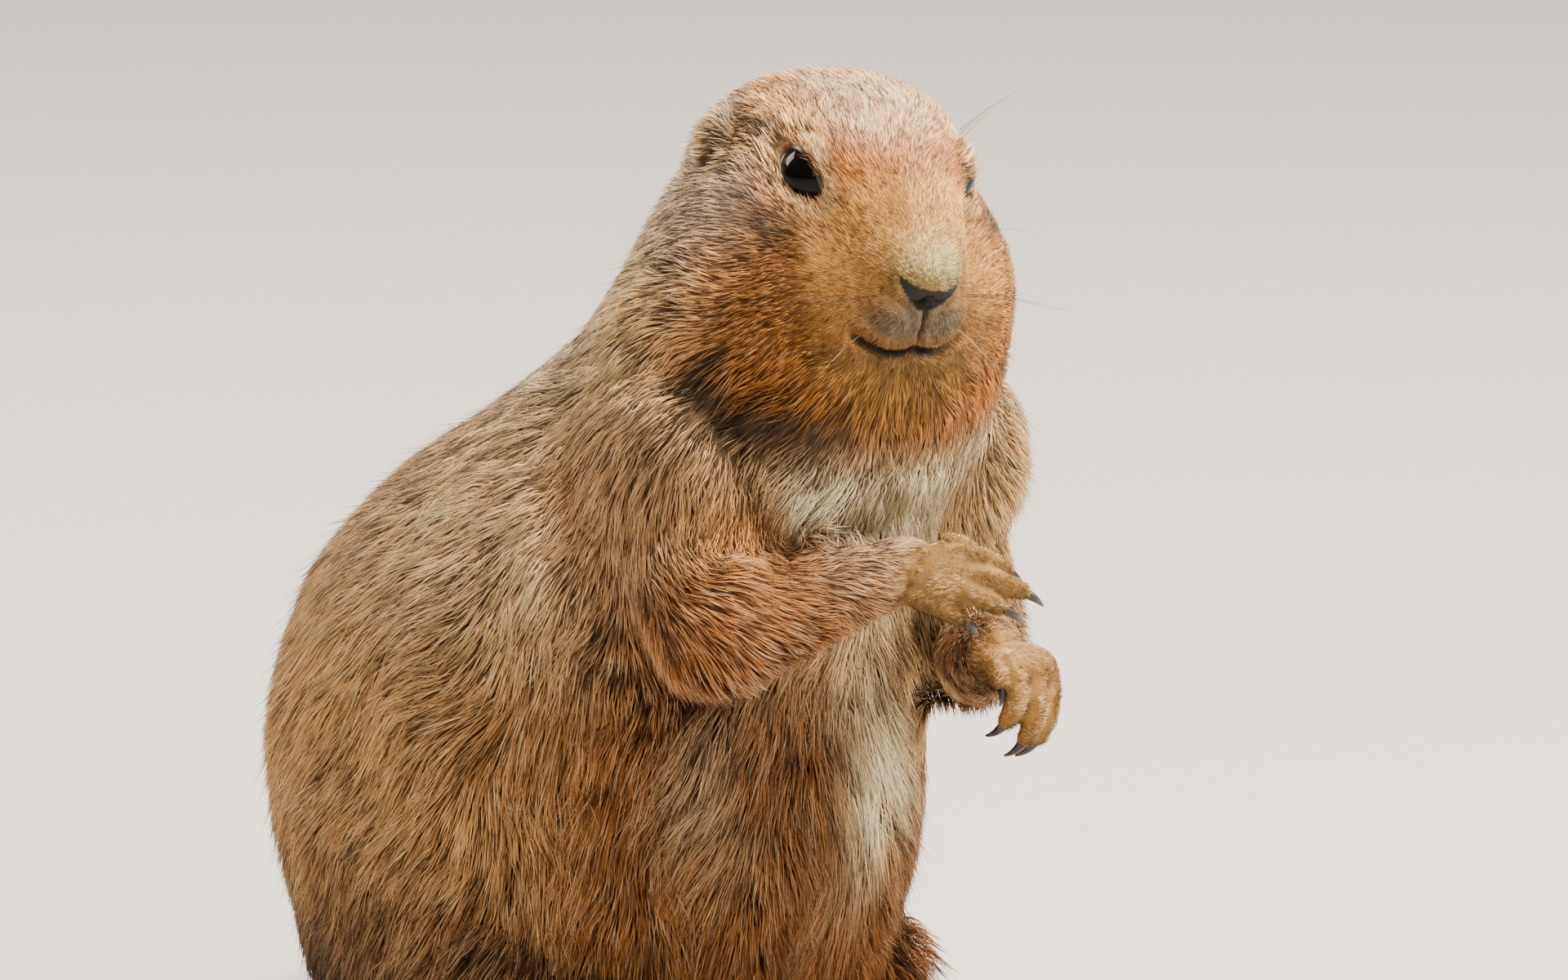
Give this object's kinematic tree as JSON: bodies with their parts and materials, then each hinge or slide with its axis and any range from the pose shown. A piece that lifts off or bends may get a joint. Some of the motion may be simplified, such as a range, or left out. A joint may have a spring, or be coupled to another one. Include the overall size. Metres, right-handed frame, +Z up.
{
  "type": "prairie dog figure",
  "caption": "Life-size still figure of a stout burrowing rodent sitting upright on its haunches, head turned to its right and both hands held before its chest.",
  "frame": {"origin": "floor point under the middle of the animal's bounding box", "axes": "+Z up from the floor, the animal's body faces -Y and its left side is +X"},
  "size_m": [0.131, 0.2036, 0.2125],
  "materials": {
    "coat": "short dense fur, cinnamon tan with pale tips and dark flecks, cream on the belly",
    "paw_coat": "very short yellowish fur on hands and feet",
    "tail_tip_coat": "coarse black fur at the tail's end",
    "ear_skin": "thinly haired low ear flap",
    "eye": "wet glossy black",
    "claw": "dark horn, satin, paler at the tips"
  },
  "bodies": {
    "root": {"head": "coat", "neck": "coat", "torso": "coat", "upper_arm_right": "coat", "forearm_right": "coat", "thigh_right": "coat", "shin_right": "coat", "upper_arm_left": "coat", "forearm_left": "coat", "thigh_left": "coat", "shin_left": "coat", "hand_right": "paw_coat", "foot_right": "paw_coat", "hand_left": "paw_coat", "foot_left": "paw_coat", "tail": "coat", "tail_tip": "tail_tip_coat", "ear_right": "ear_skin", "eye_right": "eye", "ear_left": "ear_skin", "eye_left": "eye", "claw_right_1": "claw", "claw_right_2": "claw", "claw_right_3": "claw", "claw_right_4": "claw", "claw_right_5": "claw", "toe_claw_right_1": "claw", "toe_claw_right_2": "claw", "toe_claw_right_3": "claw", "toe_claw_right_4": "claw", "toe_claw_right_5": "claw", "claw_left_1": "claw", "claw_left_2": "claw", "claw_left_3": "claw", "claw_left_4": "claw", "claw_left_5": "claw", "toe_claw_left_1": "claw", "toe_claw_left_2": "claw", "toe_claw_left_3": "claw", "toe_claw_left_4": "claw", "toe_claw_left_5": "claw"}
  },
  "joints": []
}
